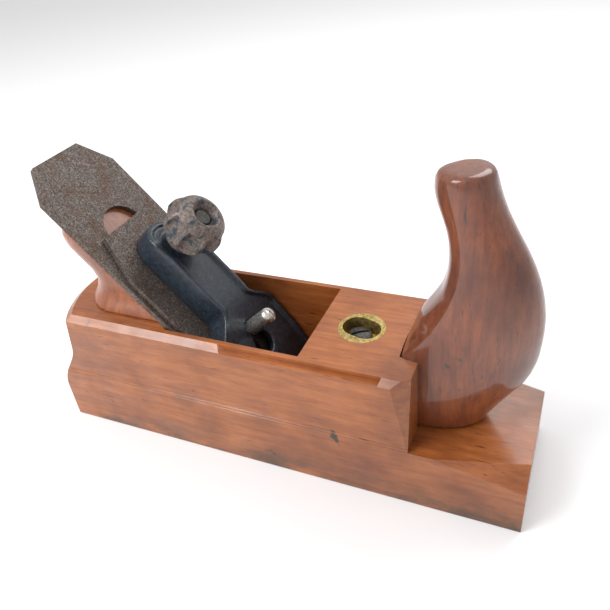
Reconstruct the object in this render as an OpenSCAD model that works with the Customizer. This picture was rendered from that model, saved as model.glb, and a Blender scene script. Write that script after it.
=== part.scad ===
// Wooden smoothing plane with an upright front horn, a cast clamping cap and an adjustable mouth.
// X runs from heel to toe, Y across the sole and Z up. The origin is the middle of the sole.

/* [Wooden body] */
// Length of the sole from heel to toe
body_length = 229; // [215:1:245]
// Width of the body
body_width = 60; // [58:0.5:70]
// Height of the block's top above the sole
body_height = 64.4; // [62:0.2:68]
// Thickness of the lower slab, up to the platform under the horn
slab_thickness = 29.8; // [27:0.2:32]
// Length of the open platform in front of the block
platform_length = 45.7; // [43:0.1:50]
// Bevel along the block's top edges, measured across the top
edge_bevel_width = 3; // [1.5:0.1:4]
// Bevel along the block's top edges, measured down the side
edge_bevel_height = 2.3; // [1:0.1:4]
// Spacing of the two lines scribed along each side
scribe_spacing = 1.7; // [1.4:0.1:3]
// Depth of the scribed lines
scribe_depth = 0.5; // [0.3:0.05:0.6]

/* [Heel] */
// Plan radius of the rounded heel at the sole
heel_radius = 62.8; // [58:0.2:70]
// How far the heel draws in above the sole, at the hollow
heel_hollow = 8.5; // [6:0.1:10]
// Height where the hollow starts
heel_hollow_start = 19; // [16:0.5:22]
// Height where the hollow ends
heel_hollow_end = 46; // [42:0.5:50]
// Lean of the heel above the hollow, in mm per mm of height
heel_lean = 0.12; // [0.05:0.01:0.16]

/* [Toe and front corners] */
// Length of the tapered bevel at each side of the toe
toe_bevel_length = 36; // [28:0.5:40]
// Width of that bevel on the platform, at the toe
toe_bevel_width = 9.1; // [6:0.1:11]
// Height of that bevel on the side, at the toe
toe_bevel_height = 7.7; // [5:0.1:10]
// Length of the block's front corner facet on the side, at the top
corner_facet_length = 7.2; // [5:0.1:8]
// Width of the block's front corner facet on the front face, at the top
corner_facet_width = 5.4; // [4:0.1:7]

/* [Throat and mouth] */
// Angle of the bed above the sole
bed_angle = 48; // [47:0.25:50]
// Distance from the toe to the cutting edge's line on the sole
mouth_from_toe = 94.1; // [92:0.1:97]
// Width of the throat between its cheeks
throat_width = 49.4; // [49:0.1:52]
// Distance from the cutting edge's line to the throat's front wall
throat_front = 2.2; // [1.8:0.1:4]
// Gap between the cutting edge's line and the mouth piece
mouth_gap = 1.4; // [1:0.1:1.8]
// Length of the sliding mouth piece
mouth_piece_length = 38; // [34:0.5:40]
// Thickness of the sliding mouth piece
mouth_piece_thickness = 13; // [11:0.5:15]
// How far the mouth piece can close from rest
mouth_travel_back = 0.8; // [0.4:0.1:0.9]
// How far the mouth piece can open from rest
mouth_travel_forward = 3; // [2:0.1:3.2]

/* [Mouth lock screw and bush] */
// Distance from the toe to the brass bush's centre
bush_from_toe = 73.4; // [72:0.1:75]
// Diameter of the brass bush
bush_diameter = 20; // [19:0.1:22]
// Height of the brass bush
bush_height = 9; // [8.5:0.1:11]
// Width of the bush's oblong pocket
pocket_width = 12.4; // [12.3:0.1:13]
// Length of the bush's oblong pocket
pocket_length = 16.8; // [16.4:0.1:17.4]
// Depth of the bush's pocket
pocket_depth = 6.5; // [6:0.1:7]
// Turn of the bush in its seat, as it was last left
bush_twist = -16; // [-18:1:0]
// Diameter of the lock screw's domed head
lock_head_diameter = 10.8; // [10:0.1:11]
// Height of the lock screw's domed head
lock_head_height = 2.8; // [2.4:0.1:3.4]
// Diameter of the lock screw's shank
lock_shank_diameter = 5.8; // [5:0.1:6]
// Thickness of the washer under the lock screw's head
lock_washer_thickness = 1; // [0.6:0.1:1.2]
// Diameter of the threaded insert in the mouth piece
mouth_nut_diameter = 12; // [10:0.5:14]
// Height of the threaded insert in the mouth piece
mouth_nut_height = 9; // [7:0.5:10]

/* [Iron] */
// Width of the iron
iron_width = 48; // [46:0.1:48.6]
// Length of the iron
iron_length = 175; // [168:1:185]
// Thickness of the iron
iron_thickness = 2.6; // [2.2:0.1:3]
// Distance of the cutting edge above the sole line, along the bed
iron_set_back = 0.5; // [0.2:0.1:1]
// Length of the ground bevel under the cutting edge
iron_bevel_length = 6; // [4:0.5:8]
// Clipped corner at the iron's top, along the iron
iron_clip_length = 14.5; // [10:0.5:18]
// Clipped corner at the iron's top, across the iron
iron_clip_width = 10; // [7:0.5:13]
// Width of the iron's slot
iron_slot_width = 11; // [10:0.1:12]
// Distance from the cutting edge line to the slot's lower end
iron_slot_start = 46; // [44:0.5:48]
// Diameter of the round hole at the slot's upper end
iron_hole_diameter = 21.4; // [20:0.1:23]
// Distance from the cutting edge line to that hole's centre
iron_hole_place = 132.6; // [130:0.1:136]

/* [Chipbreaker] */
// Width of the chipbreaker
chip_width = 44.6; // [42:0.1:46]
// Distance from the cutting edge line to the chipbreaker's top end
chip_top = 134; // [130:0.5:136]
// Thickness of the chipbreaker
chip_thickness = 2.5; // [2:0.1:3]
// Length of the tapered shoulder at the chipbreaker's top
chip_shoulder_length = 22; // [16:0.5:26]
// Width that the shoulder takes off each side
chip_shoulder_width = 6.6; // [4:0.1:8]
// Distance from the cutting edge line to the chipbreaker's front edge
chip_set_back = 2.4; // [2:0.1:3]
// Length of the raised hump behind the chipbreaker's front edge
chip_hump_length = 13; // [10:0.5:14]
// Height of that hump above the plate
chip_hump_height = 1.6; // [1:0.1:2]
// Width of the chipbreaker's slot for the cap's stud
chip_slot_width = 8.6; // [8.4:0.1:10]
// Distance from the cutting edge line to the chipbreaker's screw
chip_screw_place = 98; // [96:0.5:100]
// Diameter of the chipbreaker screw's flat head
chip_screw_head_diameter = 18; // [16:0.5:19]
// Thickness of the chipbreaker screw's flat head
chip_screw_head_height = 2; // [1.6:0.1:2.2]
// Diameter of the chipbreaker screw's shank
chip_screw_diameter = 8; // [7:0.1:9]

/* [Lever cap] */
// Distance from the cutting edge line to the cap's nose
cap_nose = 24; // [22:0.5:26]
// Distance from the cutting edge line to the cap's top end
cap_top = 125; // [123:0.5:127]
// Half width of the cap's neck
cap_neck_half_width = 10.8; // [10.2:0.1:11.6]
// Half width of the cap's flared foot
cap_foot_half_width = 23.4; // [22:0.1:23.8]
// Distance from the cutting edge line to the upper end of the flare
cap_flare_top = 77; // [75:0.5:79]
// Length of the flare along the cap
cap_flare_length = 15; // [12:0.5:17]
// Height of the neck's rims above the iron's face
cap_neck_height = 17.7; // [17:0.1:18.4]
// Height of the foot's rims above the iron's face
cap_foot_height = 13; // [12.4:0.1:13.6]
// Height of the nose above the iron's face
cap_nose_height = 7; // [6.4:0.1:8]
// Width of the raised rims
cap_rim_width = 2.4; // [1.8:0.1:3]
// Depth of the sunk face between the rims
cap_face_depth = 1.5; // [1:0.1:2]
// Thickness of the cap's roof
cap_roof = 3.4; // [3:0.1:3.8]
// Thickness of the cap's walls
cap_wall = 3.2; // [2.8:0.1:3.6]
// Diameter of the keyhole's large hole
keyhole_diameter = 11.4; // [10.6:0.1:12]
// Width of the keyhole's slot
keyhole_slot_width = 5.8; // [5.6:0.1:6.2]
// Distance the cap slides to free the stud
keyhole_travel = 8.5; // [8:0.1:9]

/* [Cap stud] */
// Distance from the cutting edge line to the stud, along the bed
stud_place = 61.5; // [60:0.1:63]
// Height of the stud's domed top above the iron's face
stud_height = 27; // [25:0.1:28]
// Diameter of the stud's head
stud_head_diameter = 7.4; // [7:0.1:8]
// Diameter of the stud's threaded shank
stud_shank_diameter = 5; // [4.6:0.1:5.2]
// Diameter of the threaded bush in the bed
insert_diameter = 12; // [10:0.5:14]
// Length of the threaded bush in the bed
insert_length = 14; // [12:0.5:16]

/* [Clamp knob] */
// Distance from the cutting edge line to the knob's axis, along the bed
knob_place = 111.5; // [110:0.1:113]
// Diameter of the knob
knob_diameter = 27; // [25:0.1:29]
// Height of the knob
knob_height = 21.5; // [19:0.1:23]
// Depth of the dish in the knob's top
knob_dish = 3; // [2:0.1:4]
// Number of flutes round the knob
knob_flutes = 8; // [6:1:10]
// Diameter of the flutes
flute_diameter = 8; // [6:0.1:8.5]
// Depth of the flutes at the knob's widest place
flute_depth = 2.6; // [1.6:0.1:3]
// Gap between the knob and the cap's sunk face
knob_lift = 3.2; // [2.4:0.1:4]
// Diameter of the clamp screw
clamp_screw_diameter = 8; // [7:0.1:9]

/* [Horn] */
// Height of the horn's top above the sole
horn_height = 138.5; // [132:0.5:145]
// Width of the housing at the block's front face
housing_width = 30; // [28.5:0.1:31]
// Width of the housing at its back
housing_back_width = 27; // [25:0.1:28]
// Depth of the housing in the block's front
housing_depth = 8.3; // [7:0.1:9]
// Distance from the toe to the horn's screw
horn_screw_from_toe = 31; // [29:0.5:33]
// Diameter of the horn's screw
horn_screw_diameter = 6; // [5:0.1:7]
// Length of the horn's screw
horn_screw_length = 46; // [40:1:50]
// Depth of the counterbore for the horn's screw
horn_screw_depth = 14; // [10:0.5:16]
// Diameter of the washer under the horn screw's head
horn_washer_diameter = 13; // [11:0.5:15]
// Thickness of the washer under the horn screw's head
horn_washer_thickness = 1.2; // [0.8:0.1:2]

/* [Hand rest] */
// Height of the hand rest above the block's top
rest_height = 46; // [42:0.5:48]
// Half width of the hand rest at its foot
rest_foot_half_width = 22; // [20:0.5:24]
// Distance from the hand rest's foot to the heel's top edge
rest_from_heel = 8.5; // [7:0.5:11]
// Diameter of the two dowels under the hand rest
dowel_diameter = 8; // [6:0.5:9]
// Length of the dowels
dowel_length = 26; // [20:1:30]
// Spacing of the dowels
dowel_spacing = 20; // [18:0.5:22]

/* [Clearances] */
// Gap between flat parts that slide on each other
slide_gap = 0.15; // [0.1:0.05:0.25]
// Radial gap between a turning or screwed part and its bore
turn_gap = 0.06; // [0.04:0.01:0.09]
// Gap between fixed wooden or metal parts and their seats, at the sides
seat_gap = 0.05; // [0.03:0.01:0.1]

/* [Hidden] */
$fn = 64;
// Extra reach of a cutter past the face that it cuts
past = 1;
toe_x = body_length / 2;
heel_axis_x = heel_radius - body_length / 2;
block_front_x = toe_x - platform_length;
mouth_x = toe_x - mouth_from_toe;
bush_x = toe_x - bush_from_toe;
throat_front_x = mouth_x + throat_front;
mouth_piece_back_x = mouth_x + mouth_gap;
// At rest the lock screw stands off the bush's centre, so that it can travel both ways
lock_screw_x = bush_x - (mouth_travel_forward - mouth_travel_back) / 2;
horn_screw_x = toe_x - horn_screw_from_toe;
// Heights in the bed's own frame, where 0 is the iron's upper face
bed_level = -iron_thickness - slide_gap;
chip_bottom = slide_gap;
chip_level = chip_bottom + chip_thickness;
cap_bottom = chip_level + slide_gap;
face_level_at_knob = cap_neck_height - cap_face_depth;
knob_bottom = face_level_at_knob + knob_lift;
knob_top = knob_bottom + knob_height;
// The pocket in the bed behind the chipbreaker screw's head
head_pocket_depth = chip_screw_head_height + 1;
head_pocket_reach = 12;
// Ends of the stud's slot in the chipbreaker, with room for both slides
chip_slot_start = stud_place - 14;
chip_slot_end = stud_place + 9;
head_clearance = 0.5;
// Level of the cap's flat seat under the stud's head
stud_seat_level = cap_foot_height - cap_face_depth - 0.2;
horn_screw_head_height = 4;

// A step from 0 to 1 with level ends
function smooth(t) = t <= 0 ? 0 : t >= 1 ? 1 : (1 - cos(180 * t)) / 2;

// Value at t on a smooth curve through [t, value] points, level before the first
function curve(points, t, i = 0) =
  let (last = len(points) - 1, p = points[i], q = points[i + 1])
  i < last - 1 && t > q[0] ? curve(points, t, i + 1)
    : let (before = points[max(0, i - 1)], after = points[min(last, i + 2)],
        run = q[0] - p[0], u = max(0, t - p[0]) / run,
        start_slope = i == 0 ? (q[1] - p[1]) / run : (q[1] - before[1]) / (q[0] - before[0]),
        end_slope = i == last - 1 ? (q[1] - p[1]) / run : (after[1] - p[1]) / (after[0] - p[0]))
      p[1] * (1 + 2 * u) * (1 - u) * (1 - u) + q[1] * u * u * (3 - 2 * u)
        + run * (start_slope * u * (1 - u) * (1 - u) - end_slope * u * u * (1 - u));

// X of the bed's wooden face at a height
function bed_x(z) = mouth_x - z / tan(bed_angle) + bed_level / sin(bed_angle);

// Plan radius of the heel at a height
function heel_radius_at(z) = heel_radius
  - heel_hollow * smooth((z - heel_hollow_start) / (heel_hollow_end - heel_hollow_start))
  - heel_lean * max(0, z - slab_thickness);

function heel_top_x() = heel_axis_x - heel_radius_at(body_height);

// Puts children in the bed's frame: x runs up the bed, z stands off the iron's face
module on_bed(place = 0, lift = 0) {
  translate([mouth_x, 0, 0])
    rotate([0, bed_angle, 0])
      rotate([0, 0, 180])
        translate([place, 0, lift])
          children();
}

// Extrudes an x-z outline across the body
module across(width) {
  rotate([90, 0, 0])
    linear_extrude(height = width, center = true)
      children();
}

// Two ends joined by straight sides, centred, along x
module oblong(width, length, height) {
  straight = length - width;
  translate([-straight / 2, -width / 2, 0])
    cube([straight, width, height]);
  for (side = [-1, 1])
    translate([side * straight / 2, 0, 0])
      cylinder(d = width, h = height);
}

// The body's plan shape between two heights, with its rounded and hollowed heel
module body_layer(bottom, top) {
  steps = 16;
  side = [for (i = [0:steps]) let (z = bottom + (top - bottom) * i / steps) [heel_radius_at(z), z]];
  translate([heel_axis_x, -body_width / 2, bottom])
    cube([toe_x - heel_axis_x, body_width, top - bottom]);
  intersection() {
    translate([-toe_x, -body_width / 2, bottom])
      cube([toe_x + heel_axis_x, body_width, top - bottom]);
    translate([heel_axis_x, 0, 0])
      rotate_extrude($fn = 120)
        polygon(concat([[0, bottom]], side, [[0, top]]));
  }
}

// A block that cuts a corner off along the plane through one point on each of its three edges
module corner_cut(corner, along_x, along_y, along_z) {
  a = corner + [along_x, 0, 0];
  b = corner + [0, along_y, 0];
  c = corner + [0, 0, along_z];
  square_on = cross(b - a, c - a);
  outward = square_on * (corner - a) > 0 ? square_on : -square_on;
  reach = 120;
  translate((a + b + c) / 3)
    rotate([0, acos(outward.z / norm(outward)), atan2(outward.y, outward.x)])
      translate([-reach / 2, -reach / 2, 0])
        cube([reach, reach, reach]);
}

// One line scribed along both sides at a height
module scribed_line(z, start, end) {
  side = scribe_depth * sqrt(2);
  for (y = [-1, 1] * body_width / 2)
    translate([(start + end) / 2, y, z])
      rotate([45, 0, 0])
        cube([end - start, side, side], center = true);
}

// The space of the throat, from below the sole to above the block
module throat_space() {
  low = -past;
  high = body_height + past;
  across(throat_width)
    polygon([[bed_x(low), low], [throat_front_x, low], [throat_front_x, high], [bed_x(high), high]]);
}

// The pocket that the mouth piece slides in, open to the throat
module mouth_space() {
  back = mouth_x - throat_front;
  front = mouth_piece_back_x + mouth_piece_length + mouth_travel_forward + slide_gap;
  translate([back, -throat_width / 2, -past])
    cube([front - back, throat_width, past + mouth_piece_thickness + slide_gap]);
}

// The lock screw's slot through the wood
module lock_slot(bottom, top) {
  width = lock_shank_diameter + 2 * head_clearance;
  translate([bush_x, 0, bottom])
    oblong(width, width + mouth_travel_forward + mouth_travel_back, top - bottom);
}

module sole_slab() {
  color("peru")
    difference() {
      body_layer(0, slab_thickness);
      throat_space();
      mouth_space();
      lock_slot(mouth_piece_thickness, slab_thickness + past);
      scribed_line(slab_thickness, -body_length, block_front_x);
      for (side = [-1, 1])
        corner_cut([toe_x, side * body_width / 2, slab_thickness],
          -toe_bevel_length, -side * toe_bevel_width, -toe_bevel_height);
      translate([horn_screw_x, 0, -past])
        cylinder(d = horn_washer_diameter + 2 * seat_gap, h = past + horn_screw_depth);
      translate([horn_screw_x, 0, 0])
        cylinder(d = horn_screw_diameter + 2 * seat_gap, h = slab_thickness + past);
    }
}

// The housing in the block's front face: the back of the horn's section, with a seat gap round it
module housing() {
  tail = [for (p = horn_ring(1)) if (p.x < block_front_x + 0.01)
    [p.x - seat_gap, p.y + sign(p.y) * seat_gap]];
  near = [for (i = [0:2]) tail[i]];
  rest = [for (i = [3:len(tail) - 1]) tail[i]];
  translate([0, 0, slab_thickness - past])
    linear_extrude(height = body_height - slab_thickness + 2 * past)
      polygon(concat(near, [near[2] + [past, 0], rest[0] + [past, 0]], rest));
}

// Bevel cutters along the block's two long top edges and round the heel
module edge_bevels() {
  for (side = [-1, 1])
    translate([0, side * body_width / 2, body_height])
      across_edge(side);
  translate([heel_axis_x, 0, 0])
    rotate_extrude($fn = 120)
      polygon([
        [heel_radius_at(body_height) - edge_bevel_width, body_height],
        [heel_radius_at(body_height) + heel_radius, body_height],
        [heel_radius_at(body_height) + heel_radius, body_height - edge_bevel_height],
        [heel_radius_at(body_height - edge_bevel_height), body_height - edge_bevel_height]]);
}

// One long bevel cutter, with its corner on the origin
module across_edge(side) {
  rotate([90, 0, 90])
    linear_extrude(height = 2 * body_length, center = true)
      polygon([[-side * edge_bevel_width, 0], [-side * edge_bevel_width, past],
        [side * past, past], [side * past, -edge_bevel_height], [0, -edge_bevel_height]]);
}

// The flat pocket in the bed for the chipbreaker screw's head
module head_pocket() {
  width = chip_screw_head_diameter + 2 * past;
  length = width + head_pocket_reach;
  on_bed(chip_screw_place + 2, bed_level - head_pocket_depth)
    oblong(width, length, head_pocket_depth + past);
}

module upper_block() {
  color("peru")
    difference() {
      intersection() {
        body_layer(slab_thickness, body_height);
        translate([-body_length, -body_width, 0])
          cube([body_length + block_front_x, 2 * body_width, body_height + past]);
      }
      throat_space();
      head_pocket();
      edge_bevels_behind_throat();
      housing();
      scribed_line(slab_thickness, -body_length, block_front_x + past);
      scribed_line(slab_thickness + scribe_spacing, -body_length, block_front_x + past);
      for (side = [-1, 1])
        corner_cut([block_front_x, side * body_width / 2, body_height],
          -corner_facet_length, -side * corner_facet_width, slab_thickness - body_height);
      translate([bush_x, 0, body_height - bush_height])
        cylinder(d = bush_diameter + 2 * seat_gap, h = bush_height + past);
      lock_slot(slab_thickness - past, body_height);
      on_bed(stud_place, bed_level - insert_length)
        cylinder(d = insert_diameter + 2 * seat_gap, h = insert_length + past);
      dowel_set(dowel_diameter + 2 * seat_gap, 0);
    }
}

// The heel's bevel stops at the heel's axis, and the long bevels run the block's whole length
module edge_bevels_behind_throat() {
  intersection() {
    edge_bevels();
    union() {
      translate([-2 * body_length, -body_width, 0])
        cube([2 * body_length + heel_axis_x, 2 * body_width, 2 * body_height]);
      for (side = [-1, 1])
        translate([-body_length, side * body_width / 2 - edge_bevel_width, 0])
          cube([2 * body_length, 2 * edge_bevel_width, 2 * body_height]);
    }
  }
}

// The horn's lines. The first value in each pair is the level: 0 is the platform, 1 the block's top
// and 2 the horn's top. The second is a distance ahead of the block's front face.
horn_back_line = [[1, -housing_depth], [1.1, -5.8], [1.2, -3.2], [1.27, -0.2],
  [1.33, 2.6], [1.39, 5], [1.47, 6.5], [1.56, 7], [1.67, 6.2], [1.78, 3.5], [1.89, 0.9], [2, 1.5]];
horn_ridge_line = [[1, 0.6 - housing_depth], [1.05, -3.6], [1.12, 1.2], [1.21, 5.8],
  [1.35, 10.3], [1.47, 12.8], [1.58, 13.5], [1.71, 12.4], [1.87, 9.7], [2, 7.7]];
horn_front_line = [[0, 24.7], [0.25, 29.1], [0.47, 33.8], [0.7, 38.9], [0.88, 41.2], [1.05, 42.5],
  [1.16, 43], [1.26, 42.7], [1.4, 40.7], [1.54, 36.6], [1.67, 31.2], [1.79, 26.5], [1.91, 23.2],
  [2, 21.4]];
// Half widths at the ridge and just ahead of it, as shares of the housing's half width in front
horn_ridge_width = [[1, housing_back_width / housing_width], [1.05, 0.96], [1.12, 1], [1.21, 1], [1.35, 0.95], [1.47, 0.87], [1.58, 0.79], [1.71, 0.71],
  [1.87, 0.64], [2, 0.61]];
horn_swell = [[0, 0], [0.5, 0.08], [1, 0.17], [1.25, 0.2], [1.45, 0.12], [1.6, 0.05], [2, 0.02]];
horn_sides = 12;
horn_back_steps = 4;
horn_levels = concat([for (i = [0:6]) i / 6], [1.05], [for (i = [1:15]) 1 + 0.97 * i / 15], [2]);

function horn_z(level) = level < 1
  ? slab_thickness + level * (body_height - slab_thickness)
  : body_height + (level - 1) * (horn_height - body_height);

// A quarter of an oval from p to the middle plane at x = end, swollen sideways
function quarter(p, end, swell, t) =
  let (q = [p.x + 0.55 * (end - p.x), p.y + swell], r = [end, 0.55 * (p.y + swell)], e = [end, 0],
    u = 1 - t)
  u * u * u * p + 3 * u * u * t * q + 3 * u * t * t * r + t * t * t * e;

// One side of the horn's section at a level, from the ridge to the front
function horn_side(level) =
  let (inset = level == 2 ? 0.9 : 0,
    half = housing_width / 2,
    ridge = [curve(horn_ridge_line, level) + inset,
      half * curve(horn_ridge_width, level) - inset],
    blend = min(1, max(0, (level - 1) / 0.2)),
    shoulder = [ridge.x + (housing_depth - 0.6) * (1 - 0.6 * blend),
      level <= 1 ? half : ridge.y + 0.04 * half * blend + (half - ridge.y) * (1 - blend)],
    front = curve(horn_front_line, level) - inset)
  concat([ridge, (ridge + shoulder) / 2 + [0, 0.15]],
    [for (i = [0:horn_sides - 1])
      quarter(shoulder, front, half * curve(horn_swell, level), i / horn_sides)],
    [[front, 0]]);

// The horn's whole section at a level, with its top tilted up towards the front
function horn_ring(level) =
  let (inset = level == 2 ? 0.9 : 0,
    side = horn_side(level),
    ridge = side[0],
    back = curve(horn_back_line, level) + inset,
    back_edge = [for (i = [1:horn_back_steps - 1])
      let (y = ridge.y * (1 - 2 * i / horn_back_steps))
      [back + (ridge.x - back) * pow(y / ridge.y, 2), -y]],
    outline = concat([for (i = [0:len(side) - 1]) [side[i].x, -side[i].y]],
      [for (i = [len(side) - 2:-1:0]) side[i]],
      [for (i = [len(back_edge) - 1:-1:0]) back_edge[i]]))
  [for (p = outline)
    [block_front_x + p.x, p.y,
      horn_z(level) + max(0, level - 1.4) / 0.6 * 0.08 * (p.x - 11.5)]];

// Skins a stack of rings that all have the same number of points, counter-clockwise from above
module stacked(rings) {
  count = len(rings[0]);
  last = len(rings) - 1;
  polyhedron(
    points = [for (ring = rings) each ring],
    faces = concat(
      [[for (i = [0:count - 1]) i]],
      [for (k = [0:last - 1]) for (i = [0:count - 1])
        let (j = (i + 1) % count) [(k + 1) * count + j, k * count + j, k * count + i]],
      [for (k = [0:last - 1]) for (i = [0:count - 1])
        let (j = (i + 1) % count) [(k + 1) * count + i, (k + 1) * count + j, k * count + i]],
      [[for (i = [0:count - 1]) last * count + count - 1 - i]]));
}

module horn() {
  color("saddlebrown")
    difference() {
      stacked([for (level = horn_levels) horn_ring(level)]);
      translate([horn_screw_x, 0, slab_thickness - past])
        cylinder(d = horn_screw_diameter + 2 * seat_gap,
          h = horn_screw_depth + horn_screw_length - slab_thickness + 2 * past);
    }
}

module horn_screw() {
  head = horn_screw_depth - horn_washer_thickness;
  color("dimgray")
    translate([horn_screw_x, 0, 0])
      difference() {
        union() {
          translate([0, 0, head - horn_screw_head_height])
            cylinder(d = horn_screw_diameter + 4, h = horn_screw_head_height);
          translate([0, 0, head - 1])
            cylinder(d = horn_screw_diameter, h = horn_screw_length + 1);
        }
        translate([-horn_screw_diameter, -0.6, 0])
          cube([2 * horn_screw_diameter, 1.2, head - horn_screw_head_height + 1.5]);
      }
}

module horn_screw_washer() {
  color("dimgray")
    translate([horn_screw_x, 0, horn_screw_depth - horn_washer_thickness])
      difference() {
        cylinder(d = horn_washer_diameter, h = horn_washer_thickness);
        translate([0, 0, -past])
          cylinder(d = horn_screw_diameter + 2 * seat_gap, h = horn_washer_thickness + 2 * past);
      }
}

// Profile rows of the hand rest: share of its height, half width as a share of the foot's,
// and how far its back stands from the foot's back, forward positive
rest_rows = [
  [0, 1, 0],
  [0.06, 0.93, 2],
  [0.14, 0.80, 4.3],
  [0.25, 0.71, 5.3],
  [0.38, 0.71, 3],
  [0.52, 0.78, -1.4],
  [0.66, 0.85, -4.6],
  [0.78, 0.86, -4.6],
  [0.88, 0.77, -1.2],
  [0.95, 0.60, 2.6],
  [1, 0.40, 6.6]
];
rest_sides = 32;
rest_foot_x = heel_top_x() + rest_from_heel;

// A U in plan: a round back and straight sides that run forward past the bed
function rest_ring(row) =
  let (z = body_height + rest_height * row[0],
    half = rest_foot_half_width * row[1],
    back = rest_foot_x + row[2],
    front = bed_x(z) + 2 * iron_thickness,
    depth = min(half, (front - back) / 2),
    half_sides = rest_sides / 2)
  concat(
    [for (i = [0:half_sides])
      let (a = 90 + 180 * i / half_sides)
      [back + depth + depth * cos(a), half * sin(a), z]],
    [[front, -half, z], [front, half, z]]);

module hand_rest() {
  color("sienna")
    difference() {
      stacked([for (row = rest_rows) rest_ring(row)]);
      on_bed(0, bed_level)
        translate([0, -body_width, 0])
          cube([3 * iron_length, 2 * body_width, body_width]);
      head_pocket();
      dowel_set(dowel_diameter + 2 * seat_gap, 0);
    }
}

// The dowels under the hand rest, half in the block and half in the rest
module dowel_set(diameter, shorter) {
  x = rest_foot_x + rest_foot_half_width;
  for (y = [-1, 1] * dowel_spacing / 2)
    translate([x, y, body_height - dowel_length / 2 + shorter / 2])
      cylinder(d = diameter, h = dowel_length - shorter);
}

module hand_rest_dowels() {
  color("tan")
    dowel_set(dowel_diameter, head_clearance);
}

module iron() {
  edge = iron_set_back;
  clip = iron_length - iron_clip_length;
  half = iron_width / 2;
  // The bevel's cut under the edge, in the x-z plane of the bed
  bevel = [[edge - past, -iron_thickness - past], [edge - past, 0], [edge, 0],
    [edge + iron_bevel_length, -iron_thickness], [edge + iron_bevel_length, -iron_thickness - past]];
  color("gray")
    on_bed()
      difference() {
        translate([0, 0, -iron_thickness])
          linear_extrude(height = iron_thickness)
            polygon([[edge, -half], [clip, -half], [iron_length, iron_clip_width - half],
              [iron_length, half - iron_clip_width], [clip, half], [edge, half]]);
        across(2 * iron_width)
          polygon(bevel);
        translate([(iron_slot_start + iron_hole_place) / 2, 0, -iron_thickness - past])
          oblong(iron_slot_width, iron_hole_place - iron_slot_start + iron_slot_width,
            iron_thickness + 2 * past);
        translate([iron_hole_place, 0, -iron_thickness - past])
          cylinder(d = iron_hole_diameter, h = iron_thickness + 2 * past);
      }
}

module chipbreaker() {
  half = chip_width / 2;
  shoulder = chip_top - chip_shoulder_length;
  hump_end = chip_set_back + chip_hump_length;
  hump_middle = chip_set_back + chip_hump_length / 2;
  hump_steps = 8;
  // The plate's section: flat, with a hump that comes down to the iron at the front edge
  arch = [for (i = [0:hump_steps])
    let (t = i / hump_steps)
    [chip_set_back + chip_hump_length * t, chip_bottom + chip_hump_height * sin(180 * t)
      + (t < 0.5 ? 1.3 : chip_thickness) * (t < 0.5 ? smooth(2 * t) * (chip_thickness / 1.3 - 1) + 1
      : 1)]];
  under = [for (i = [1:hump_steps - 1])
    let (t = 1 - i / hump_steps)
    [chip_set_back + chip_hump_length * t, chip_bottom + chip_hump_height * sin(180 * t) * 0.6]];
  color("dimgray")
    on_bed()
      difference() {
        intersection() {
          across(chip_width)
            polygon(concat([[chip_set_back, chip_bottom]], arch, [[chip_top, chip_level],
              [chip_top, chip_bottom], [hump_end, chip_bottom]], under));
          translate([0, 0, -past])
            linear_extrude(height = chip_level + chip_hump_height + 2 * past)
              polygon([[0, -half], [shoulder, -half], [chip_top, chip_shoulder_width - half],
                [chip_top, half - chip_shoulder_width], [shoulder, half], [0, half]]);
        }
        translate([(chip_slot_start + chip_slot_end) / 2, 0, 0])
          oblong(chip_slot_width, chip_slot_end - chip_slot_start, chip_level + past);
        translate([chip_screw_place, 0, 0])
          cylinder(d = chip_screw_diameter + 2 * turn_gap, h = chip_level + past);
      }
}

module chipbreaker_screw() {
  head_top = bed_level;
  color("slategray")
    on_bed(chip_screw_place)
      difference() {
        union() {
          translate([0, 0, head_top - chip_screw_head_height])
            cylinder(d = chip_screw_head_diameter, h = chip_screw_head_height);
          translate([0, 0, head_top - chip_screw_head_height / 2])
            cylinder(d = chip_screw_diameter, h = chip_level - head_top + chip_screw_head_height / 2);
        }
        translate([-chip_screw_head_diameter, -0.8, head_top - chip_screw_head_height - past])
          cube([2 * chip_screw_head_diameter, 1.6, past + chip_screw_head_height / 2]);
      }
}

// Half width of the cap's outline at a place along the bed
function cap_half_width(s) = cap_neck_half_width
  + (cap_foot_half_width - cap_neck_half_width) * smooth((cap_flare_top - s) / cap_flare_length);

// The cap's outline, drawn in from its edge by an inset, with a round top end
function cap_outline(inset) =
  let (steps = 14,
    centre = cap_top - cap_neck_half_width,
    radius = cap_neck_half_width - inset,
    flare = [for (i = [0:steps])
      let (s = cap_flare_top - cap_flare_length + cap_flare_length * i / steps)
      [s, cap_half_width(s) - inset]],
    right = concat([[cap_nose + inset, cap_foot_half_width - inset - 3],
      [cap_nose + inset + 3, cap_foot_half_width - inset]], flare),
    end = [for (i = [0:steps]) let (a = 90 - 180 * i / steps)
      [centre + radius * cos(a), radius * sin(a)]],
    left = [for (i = [len(right) - 1:-1:0]) [right[i][0], -right[i][1]]])
  concat(right, end, left);

// The cap's top line in the x-z plane of the bed, from the nose to the top end
cap_line = [
  [cap_nose, cap_nose_height],
  [stud_place - 16, cap_foot_height - 1],
  [cap_flare_top - cap_flare_length, cap_foot_height],
  [cap_flare_top, cap_neck_height - 0.3],
  [cap_flare_top + 4, cap_neck_height],
  [cap_top - 17, cap_neck_height],
  [cap_top - 7, cap_neck_height - 1.8],
  [cap_top, cap_neck_height - 6]
];

function lowered(line, drop) = [for (p = line) [p[0], p[1] - drop]];

// The space under the cap's top line, lowered by a drop and cut off at a bottom
module under_line(drop, bottom) {
  across(4 * cap_foot_half_width)
    polygon(concat([[cap_nose - 2 * past, bottom], [cap_nose - 2 * past, cap_nose_height - drop]],
      lowered(cap_line, drop),
      [[cap_top + past, cap_neck_height - 6 - drop], [cap_top + past, bottom]]));
}

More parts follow.
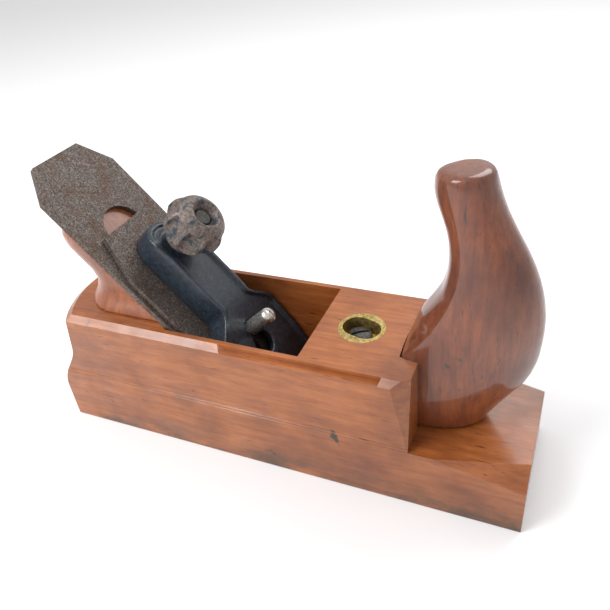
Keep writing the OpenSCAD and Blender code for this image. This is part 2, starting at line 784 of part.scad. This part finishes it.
module cap_prism(inset, bottom) {
  translate([0, 0, bottom])
    linear_extrude(height = 2 * cap_neck_height)
      polygon(cap_outline(inset));
}

module lever_cap() {
  boss_diameter = 2 * (cap_neck_half_width - cap_wall) + 1;
  color([0.10, 0.13, 0.18])
    on_bed()
      difference() {
        union() {
          difference() {
            intersection() {
              cap_prism(0, cap_bottom);
              under_line(0, cap_bottom);
            }
            // The sunk face between the rims
            difference() {
              cap_prism(cap_rim_width, cap_bottom);
              under_line(cap_face_depth, 0);
            }
            // The hollow underside
            intersection() {
              cap_prism(cap_wall, 0);
              under_line(cap_face_depth + cap_roof, 0);
            }
          }
          // The threaded boss under the knob
          translate([knob_place, 0, cap_bottom + 2])
            cylinder(d = boss_diameter, h = face_level_at_knob - cap_bottom - 3);
        }
        translate([knob_place, 0, 0])
          cylinder(d = clamp_screw_diameter + 2 * turn_gap, h = 2 * cap_neck_height);
        // The keyhole: a large hole below and a slot up to the stud
        translate([stud_place - keyhole_travel, 0, 0])
          cylinder(d = keyhole_diameter, h = 2 * cap_neck_height);
        translate([stud_place - keyhole_travel / 2, 0, 0])
          oblong(keyhole_slot_width, keyhole_travel + keyhole_slot_width, 2 * cap_neck_height);
        translate([stud_place, 0, stud_seat_level])
          cylinder(d = stud_head_diameter + 2 * head_clearance, h = cap_neck_height);
      }
}

// The knob's outline: a waisted foot, a full dome and a dished centre
function knob_side() =
  let (r = knob_diameter / 2, steps = 10, dome = knob_height * 0.5, end = 62,
    rim = r * cos(end), bore = clamp_screw_diameter / 2 + turn_gap)
  concat(
    [[bore, 0], [r * 0.56, 0], [r * 0.66, knob_height * 0.1],
      [r * 0.9, knob_height * 0.3], [r, knob_height * 0.42]],
    [for (i = [0:steps])
      let (a = end * i / steps)
      [r * cos(a), knob_height - dome + dome * sin(a) / sin(end)]],
    [[rim * 0.8, knob_height - knob_dish * 0.6], [bore, knob_height - knob_dish]]);

module clamp_knob() {
  color("dimgray")
    on_bed(knob_place, knob_bottom)
      difference() {
        rotate_extrude($fn = 96)
          polygon(knob_side());
        for (i = [0:knob_flutes - 1])
          rotate([0, 0, 360 * (i + 0.5) / knob_flutes])
            translate([knob_diameter / 2 + flute_diameter / 2 - flute_depth, 0, -past])
              rotate([0, -6, 0])
                cylinder(d = flute_diameter, h = knob_height * 0.86);
      }
}

module clamp_screw() {
  tip = chip_level + slide_gap;
  radius = clamp_screw_diameter / 2;
  color("gray")
    on_bed(knob_place)
      rotate_extrude()
        polygon([[0, tip], [radius * 0.6, tip], [radius, tip + radius * 0.5],
          [radius, knob_top - knob_dish - 0.8], [radius - 0.8, knob_top - knob_dish],
          [0, knob_top - knob_dish]]);
}

module lever_cap_screw() {
  neck_bottom = bed_level - insert_length + 1;
  head_bottom = stud_seat_level + slide_gap;
  radius = stud_head_diameter / 2;
  dome = radius * 0.75;
  color("silver")
    on_bed(stud_place)
      difference() {
        union() {
          translate([0, 0, neck_bottom])
            cylinder(d = stud_shank_diameter, h = head_bottom - neck_bottom + 1);
          rotate_extrude()
            polygon(concat([[0, head_bottom], [radius, head_bottom]],
              [for (i = [0:8]) let (a = 90 * i / 8)
                [radius * cos(a), stud_height - dome + dome * sin(a)]]));
        }
        translate([-radius - past, -0.5, stud_height - 1.2])
          cube([2 * radius + 2 * past, 1, 3]);
      }
}

module lever_cap_insert() {
  color("darkgoldenrod")
    on_bed(stud_place, bed_level - insert_length)
      difference() {
        cylinder(d = insert_diameter, h = insert_length);
        translate([0, 0, -past])
          cylinder(d = stud_shank_diameter + 2 * turn_gap, h = insert_length + 2 * past);
      }
}

module brass_bush() {
  floor_slot = lock_shank_diameter + 2 * head_clearance;
  color("goldenrod")
    translate([bush_x, 0, body_height - bush_height])
      difference() {
        cylinder(d = bush_diameter, h = bush_height);
        rotate([0, 0, bush_twist])
          translate([0, 0, bush_height - pocket_depth])
            oblong(pocket_width, pocket_length, pocket_depth + past);
        translate([0, 0, -past])
          oblong(floor_slot, floor_slot + mouth_travel_forward + mouth_travel_back,
            bush_height);
      }
}

module mouth_piece() {
  width = throat_width - 2 * slide_gap;
  color("burlywood")
    difference() {
      translate([mouth_piece_back_x, -width / 2, 0])
        cube([mouth_piece_length, width, mouth_piece_thickness]);
      translate([lock_screw_x, 0, mouth_piece_thickness - mouth_nut_height])
        cylinder(d = mouth_nut_diameter + 2 * seat_gap, h = mouth_nut_height + past);
    }
}

module mouth_nut() {
  color("darkgoldenrod")
    translate([lock_screw_x, 0, mouth_piece_thickness - mouth_nut_height])
      difference() {
        cylinder(d = mouth_nut_diameter, h = mouth_nut_height);
        translate([0, 0, -past])
          cylinder(d = lock_shank_diameter + 2 * turn_gap, h = mouth_nut_height + 2 * past);
      }
}

// Heights of the parts in the bush's pocket
washer_bottom = body_height - pocket_depth + slide_gap;
lock_head_bottom = washer_bottom + lock_washer_thickness + slide_gap;

module mouth_lock_screw() {
  radius = lock_head_diameter / 2;
  shank_bottom = mouth_piece_thickness - mouth_nut_height + 1;
  dome = [for (i = [0:8]) let (a = 90 * i / 8)
    [radius * cos(a), lock_head_bottom + lock_head_height * (0.35 + 0.65 * sin(a))]];
  color([0.25, 0.25, 0.28])
    translate([lock_screw_x, 0, 0])
      difference() {
        union() {
          rotate_extrude()
            polygon(concat([[0, lock_head_bottom], [radius, lock_head_bottom]], dome));
          translate([0, 0, shank_bottom])
            cylinder(d = lock_shank_diameter, h = lock_head_bottom - shank_bottom + 1);
        }
        rotate([0, 0, 35])
          translate([-radius - past, -0.7, lock_head_bottom + lock_head_height - 1.3])
            cube([2 * radius + 2 * past, 1.4, 3]);
      }
}

module mouth_washer() {
  color([0.35, 0.33, 0.30])
    translate([lock_screw_x, 0, washer_bottom])
      difference() {
        cylinder(d = lock_head_diameter, h = lock_washer_thickness);
        translate([0, 0, -past])
          cylinder(d = lock_shank_diameter + 2 * turn_gap, h = lock_washer_thickness + 2 * past);
      }
}

sole_slab();
upper_block();
horn();
horn_screw();
horn_screw_washer();
hand_rest();
hand_rest_dowels();
iron();
chipbreaker();
chipbreaker_screw();
lever_cap();
clamp_knob();
clamp_screw();
lever_cap_screw();
lever_cap_insert();
brass_bush();
mouth_piece();
mouth_nut();
mouth_lock_screw();
mouth_washer();
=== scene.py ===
import math

import bpy
from mathutils import Matrix, Vector


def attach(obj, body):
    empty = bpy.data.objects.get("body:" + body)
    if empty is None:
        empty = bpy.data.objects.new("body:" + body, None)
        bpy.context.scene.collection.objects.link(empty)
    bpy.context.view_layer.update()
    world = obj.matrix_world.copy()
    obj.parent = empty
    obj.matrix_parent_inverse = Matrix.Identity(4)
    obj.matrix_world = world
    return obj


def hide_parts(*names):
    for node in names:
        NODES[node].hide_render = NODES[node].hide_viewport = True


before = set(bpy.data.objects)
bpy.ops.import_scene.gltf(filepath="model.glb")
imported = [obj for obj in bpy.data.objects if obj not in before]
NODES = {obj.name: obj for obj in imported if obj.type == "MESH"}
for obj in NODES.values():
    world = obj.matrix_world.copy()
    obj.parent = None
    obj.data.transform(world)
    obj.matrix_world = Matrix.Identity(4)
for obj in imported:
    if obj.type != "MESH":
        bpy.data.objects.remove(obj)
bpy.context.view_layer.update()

# The photograph's camera, solved from the body's edges: its place in metres and two directions,
# in the part's frame
CAMERA_PLACE = (0.1171, -0.1987, 0.2273)
CAMERA_RIGHT = (0.91568, 0.39033, -0.09574)
CAMERA_UP = (-0.15395, 0.56070, 0.81358)
CAMERA_LENS_MM = 37.99
SENSOR_MM = 36.0
CAMERA_NEAREST = 0.01

# The studio, in metres
FLOOR_SIZE = 8.0
FLOOR_GAP = 0.0003
FLOOR_COLOUR = (0.93, 0.93, 0.94, 1)
FLOOR_ROUGHNESS = 0.6
STUDIO_COLOUR = (1, 1, 1, 1)
STUDIO_STRENGTH = 0.7

# Widths of the rounding on sharp edges, in metres, and the least angle between faces that gets it
WOOD_EDGE = 0.0007
MOUTH_EDGE = 0.0004
CHIPBREAKER_EDGE = 0.00035
IRON_EDGE = 0.00025
SMALL_EDGE = 0.0002
EDGE_ANGLE = math.radians(35)
EDGE_SEGMENTS = 2


def add_camera():
    """The camera at the photograph's place, with its slight roll."""
    right = Vector(CAMERA_RIGHT).normalized()
    up = Vector(CAMERA_UP).normalized()
    back = right.cross(up)
    turn = Matrix((right, up, back)).transposed().to_4x4()
    data = bpy.data.cameras.new("photo_camera")
    data.lens = CAMERA_LENS_MM
    data.sensor_width = SENSOR_MM
    data.clip_start = CAMERA_NEAREST
    camera = bpy.data.objects.new("photo_camera", data)
    camera.matrix_world = Matrix.Translation(CAMERA_PLACE) @ turn
    bpy.context.collection.objects.link(camera)
    bpy.context.scene.camera = camera


def add_floor():
    """A wide, nearly white floor that takes the object's shadow."""
    bpy.ops.mesh.primitive_plane_add(size=FLOOR_SIZE, location=(0, 0, -FLOOR_GAP))
    floor = bpy.context.object
    floor.name = "floor"
    material = bpy.data.materials.new("floor_white")
    material.use_nodes = True
    shader = material.node_tree.nodes["Principled BSDF"]
    shader.inputs["Base Color"].default_value = FLOOR_COLOUR
    shader.inputs["Roughness"].default_value = FLOOR_ROUGHNESS
    floor.data.materials.append(material)


def add_light(name, place, target, size, power):
    """A square lamp that looks at target. Its size is in metres and its power in watts."""
    data = bpy.data.lights.new(name, "AREA")
    data.shape = "SQUARE"
    data.size = size
    data.energy = power
    lamp = bpy.data.objects.new(name, data)
    lamp.location = place
    aim = Vector(target) - Vector(place)
    lamp.rotation_euler = aim.to_track_quat("-Z", "Y").to_euler()
    bpy.context.collection.objects.link(lamp)


def add_world():
    """Even white light from all round."""
    world = bpy.data.worlds.new("studio")
    bpy.context.scene.world = world
    world.use_nodes = True
    background = world.node_tree.nodes["Background"]
    background.inputs["Color"].default_value = STUDIO_COLOUR
    background.inputs["Strength"].default_value = STUDIO_STRENGTH


def darker(colour, share):
    return tuple(share * channel for channel in colour)


class Surface:
    """A procedural material. Most methods add a node and return the socket to use next."""

    def __init__(self, name, metallic=0.0, coat=0.0, coat_roughness=0.1):
        self.material = bpy.data.materials.new(name)
        self.material.use_nodes = True
        self.tree = self.material.node_tree
        self.shader = self.tree.nodes["Principled BSDF"]
        self.shader.inputs["Metallic"].default_value = metallic
        self.shader.inputs["Coat Weight"].default_value = coat
        self.shader.inputs["Coat Roughness"].default_value = coat_roughness
        self.place = self.tree.nodes.new("ShaderNodeTexCoord").outputs["Object"]

    def stretched(self, scale):
        """The place, scaled along each axis. A scale under 1 draws a pattern out."""
        node = self.tree.nodes.new("ShaderNodeMapping")
        node.inputs["Scale"].default_value = scale
        self.tree.links.new(self.place, node.inputs["Vector"])
        return node.outputs["Vector"]

    def noise(self, per_metre, detail=5.0, rough=0.6, place=None):
        """Random values about 0.5, with per_metre cells to the metre."""
        node = self.tree.nodes.new("ShaderNodeTexNoise")
        node.inputs["Scale"].default_value = per_metre
        node.inputs["Detail"].default_value = detail
        node.inputs["Roughness"].default_value = rough
        self.tree.links.new(place or self.place, node.inputs["Vector"])
        return node.outputs["Fac"]

    def height(self, low, high):
        """0 below the height low and 1 above high, in metres."""
        split = self.tree.nodes.new("ShaderNodeSeparateXYZ")
        self.tree.links.new(self.place, split.inputs["Vector"])
        node = self.tree.nodes.new("ShaderNodeMapRange")
        node.inputs["From Min"].default_value = low
        node.inputs["From Max"].default_value = high
        self.tree.links.new(split.outputs["Z"], node.inputs["Value"])
        return node.outputs["Result"]

    def ramp(self, value, stops):
        """The colour for a value, from stops of a value and its colour in rising order."""
        node = self.tree.nodes.new("ShaderNodeValToRGB")
        while len(node.color_ramp.elements) < len(stops):
            node.color_ramp.elements.new(0.5)
        for element, (position, colour) in zip(node.color_ramp.elements, stops):
            element.position = position
            element.color = (*colour, 1)
        self.tree.links.new(value, node.inputs["Fac"])
        return node.outputs["Color"]

    def mask(self, value, low, high):
        """Black below low and white above high."""
        return self.ramp(value, [(low, (0, 0, 0)), (high, (1, 1, 1))])

    def calculate(self, operation, first, second):
        """The given operation on two sockets or numbers."""
        node = self.tree.nodes.new("ShaderNodeMath")
        node.operation = operation
        for socket, value in zip(node.inputs, (first, second)):
            if isinstance(value, float):
                socket.default_value = value
            else:
                self.tree.links.new(value, socket)
        return node.outputs["Value"]

    def mix(self, factor, first, second):
        """first where factor is 0 and second where it is 1. A colour or a socket each."""
        node = self.tree.nodes.new("ShaderNodeMix")
        node.data_type = "RGBA"
        self.tree.links.new(factor, node.inputs[0])
        for socket, value in ((node.inputs[6], first), (node.inputs[7], second)):
            if isinstance(value, tuple):
                socket.default_value = (*value, 1)
            else:
                self.tree.links.new(value, socket)
        return node.outputs[2]

    def bump(self, value, strength, depth):
        """Raises the surface where value is high, by depth in metres."""
        node = self.tree.nodes.new("ShaderNodeBump")
        node.inputs["Strength"].default_value = strength
        node.inputs["Distance"].default_value = depth
        self.tree.links.new(value, node.inputs["Height"])
        self.tree.links.new(node.outputs["Normal"], self.shader.inputs["Normal"])

    def colour(self, socket):
        self.tree.links.new(socket, self.shader.inputs["Base Color"])

    def roughness(self, value, low, high):
        """Roughness between low and high, as value goes from 0.3 to 0.7."""
        shade = self.ramp(value, [(0.3, (low, low, low)), (0.7, (high, high, high))])
        self.tree.links.new(shade, self.shader.inputs["Roughness"])


def wood(name, dark, light, grain, coat, shine=0.18, dirt_top=0.0):
    """Varnished wood: long fine grain, blotches, dark flecks and spots, and dirt up to dirt_top."""
    s = Surface(name, coat=coat, coat_roughness=shine)
    along = s.stretched(grain)
    fine = s.noise(per_metre=420, detail=8, rough=0.7, place=along)
    base = s.ramp(fine, [(0.30, dark), (0.70, light)])

    blotch = s.mask(s.noise(per_metre=28, detail=4), low=0.42, high=0.70)
    blotch_colour = s.ramp(fine, [(0.3, darker(dark, 0.6)), (0.75, dark)])
    base = s.mix(blotch, base, blotch_colour)

    fleck = s.mask(s.noise(per_metre=900, detail=3, place=along), low=0.64, high=0.72)
    base = s.mix(fleck, base, darker(dark, 0.35))

    spot = s.mask(s.noise(per_metre=95, detail=2), low=0.70, high=0.76)
    spot_colour = (0.03, 0.014, 0.006)
    base = s.mix(spot, base, spot_colour)

    if dirt_top:
        low_down = s.calculate("SUBTRACT", 1.0, s.height(low=0.002, high=dirt_top))
        drawn_out = s.stretched((0.5, 1, 1))
        patches = s.noise(per_metre=60, detail=6, rough=0.7, place=drawn_out)
        dirty = s.calculate("MULTIPLY", low_down, s.mask(patches, low=0.40, high=0.62))
        dirt_colour = (0.07, 0.03, 0.012)
        base = s.mix(dirty, base, dirt_colour)

    s.colour(base)
    s.roughness(s.noise(per_metre=70), low=0.32, high=0.58)
    s.bump(fine, strength=0.25, depth=0.0003)
    return s.material


def rusty_steel():
    """Pitted, speckled grey steel with broad patches of brown rust."""
    s = Surface("rusty_steel", metallic=0.55)
    speck = s.noise(per_metre=1400, detail=6, rough=0.75)
    steel = s.ramp(speck, [(0.36, (0.035, 0.026, 0.022)), (0.5, (0.12, 0.095, 0.082)),
                           (0.66, (0.30, 0.26, 0.235))])
    rust = s.ramp(speck, [(0.35, (0.04, 0.022, 0.014)), (0.7, (0.19, 0.12, 0.085))])
    rusted = s.mask(s.noise(per_metre=120, detail=6, rough=0.7), low=0.48, high=0.66)
    s.colour(s.mix(rusted, steel, rust))
    s.roughness(s.noise(per_metre=600, detail=4), low=0.42, high=0.72)
    s.bump(speck, strength=0.5, depth=0.0003)
    return s.material


def painted_casting():
    """Dark blue-black enamel over a rough casting, with dust in it."""
    s = Surface("cap_paint", coat=0.35, coat_roughness=0.2)
    grain = s.noise(per_metre=700, detail=4)
    enamel = s.ramp(grain, [(0.35, (0.006, 0.010, 0.018)), (0.68, (0.022, 0.036, 0.052))])
    dusty = s.mask(s.noise(per_metre=260, rough=0.7), low=0.62, high=0.74)
    dust_colour = (0.055, 0.07, 0.082)
    s.colour(s.mix(dusty, enamel, dust_colour))
    s.roughness(s.noise(per_metre=300, detail=4), low=0.28, high=0.55)
    s.bump(s.noise(per_metre=420), strength=0.45, depth=0.0004)
    return s.material


def worn_knob():
    """Brown-grey bare metal, with dark blue enamel left in patches."""
    s = Surface("knob_iron", metallic=0.25)
    grain = s.noise(per_metre=900, rough=0.7)
    bare = s.ramp(grain, [(0.35, (0.07, 0.052, 0.045)), (0.68, (0.27, 0.215, 0.19))])
    enamelled = s.mask(s.noise(per_metre=210, detail=4), low=0.52, high=0.60)
    enamel_colour = (0.035, 0.05, 0.065)
    s.colour(s.mix(enamelled, bare, enamel_colour))
    s.roughness(s.noise(per_metre=300, detail=4), low=0.4, high=0.65)
    s.bump(s.noise(per_metre=500), strength=0.5, depth=0.0004)
    return s.material


def metal(name, dark, light, rough, metallic=0.9):
    """Worn metal with a fine mottle between two colours."""
    s = Surface(name, metallic=metallic)
    mottle = s.noise(per_metre=800, detail=6, rough=0.7)
    s.colour(s.ramp(mottle, [(0.35, dark), (0.65, light)]))
    s.roughness(s.noise(per_metre=400, detail=4), low=0.7 * rough, high=1.3 * rough)
    s.bump(mottle, strength=0.3, depth=0.0002)
    return s.material


def dress(node, material, edge=0.0, edge_material=None):
    """Gives a CAD node its material, and rounds its sharp edges, worn bright where asked."""
    obj = NODES[node]
    obj.data.materials.clear()
    obj.data.materials.append(material)
    if edge_material:
        obj.data.materials.append(edge_material)
    if edge:
        bevel = obj.modifiers.new("worn_edges", "BEVEL")
        bevel.width = edge
        bevel.segments = EDGE_SEGMENTS
        bevel.limit_method = "ANGLE"
        bevel.angle_limit = EDGE_ANGLE
        bevel.harden_normals = True
        if edge_material:
            bevel.material = 1


def soften(node, body, material, voxel, passes):
    """Puts a rounded, smooth copy in a CAD node's place. The voxel is in metres."""
    copy = bpy.data.objects.new(node + "_form", NODES[node].data.copy())
    bpy.context.collection.objects.link(copy)
    copy.data.materials.clear()
    copy.data.materials.append(material)
    remesh = copy.modifiers.new("remesh", "REMESH")
    remesh.mode = "VOXEL"
    remesh.voxel_size = voxel
    remesh.use_smooth_shade = True
    relax = copy.modifiers.new("relax", "SMOOTH")
    relax.factor = 0.5
    relax.iterations = passes
    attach(copy, body)
    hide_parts(node)


def dress_body():
    """The block, slab, mouth piece and dowels, and the two carved handles."""
    body_wood = wood("body_wood", dark=(0.25, 0.062, 0.011), light=(0.45, 0.145, 0.034),
                     grain=(0.10, 1, 1), coat=0.5, dirt_top=0.016)
    for node in ("upper_block", "sole_slab"):
        dress(node, body_wood, WOOD_EDGE)

    mouth_wood = wood("mouth_wood", dark=(0.30, 0.14, 0.05), light=(0.50, 0.28, 0.12),
                      grain=(0.10, 1, 1), coat=0.2)
    dress("mouth_piece", mouth_wood, MOUTH_EDGE)
    dress("hand_rest_dowels", mouth_wood)

    horn_wood = wood("horn_wood", dark=(0.11, 0.021, 0.005), light=(0.27, 0.066, 0.014),
                     grain=(1, 1, 0.10), coat=0.9, shine=0.08)
    soften("horn", "body", horn_wood, voxel=0.0011, passes=12)

    rest_wood = wood("rest_wood", dark=(0.25, 0.062, 0.017), light=(0.45, 0.15, 0.055),
                     grain=(1, 1, 0.12), coat=0.6)
    soften("hand_rest", "body", rest_wood, voxel=0.0011, passes=6)


def dress_metal():
    """The iron and chipbreaker, the cap and knob, the stud, the brass and the dark screws."""
    steel = rusty_steel()
    worn_edge = metal("worn_edge", dark=(0.30, 0.27, 0.24), light=(0.62, 0.58, 0.54), rough=0.4)
    dress("iron", steel, IRON_EDGE, worn_edge)
    dress("chipbreaker", steel, CHIPBREAKER_EDGE, worn_edge)

    soften("lever_cap", "cap", painted_casting(), voxel=0.00055, passes=4)
    soften("clamp_knob", "knob", worn_knob(), voxel=0.00045, passes=5)

    stud_steel = metal("bright_steel", dark=(0.42, 0.39, 0.35), light=(0.85, 0.82, 0.78), rough=0.3)
    dress("lever_cap_screw", stud_steel, SMALL_EDGE)

    brass = metal("brass", dark=(0.26, 0.18, 0.05), light=(0.62, 0.48, 0.19), rough=0.42)
    for node in ("brass_bush", "mouth_nut", "lever_cap_insert"):
        dress(node, brass, SMALL_EDGE)

    dark_steel = metal("dark_steel", dark=(0.025, 0.024, 0.024), light=(0.12, 0.11, 0.10),
                       rough=0.5, metallic=0.6)
    for node in ("mouth_lock_screw", "mouth_washer", "clamp_screw", "chipbreaker_screw",
                 "horn_screw", "horn_screw_washer"):
        dress(node, dark_steel, SMALL_EDGE)


add_camera()
add_floor()
add_world()
add_light("key", place=(-0.45, -0.45, 0.75), target=(0, 0, 0.05), size=0.5, power=7)
add_light("back", place=(0.2, 0.6, 0.8), target=(0, 0, 0.06), size=0.6, power=4)
dress_body()
dress_metal()
bpy.context.scene.view_settings.view_transform = "Standard"
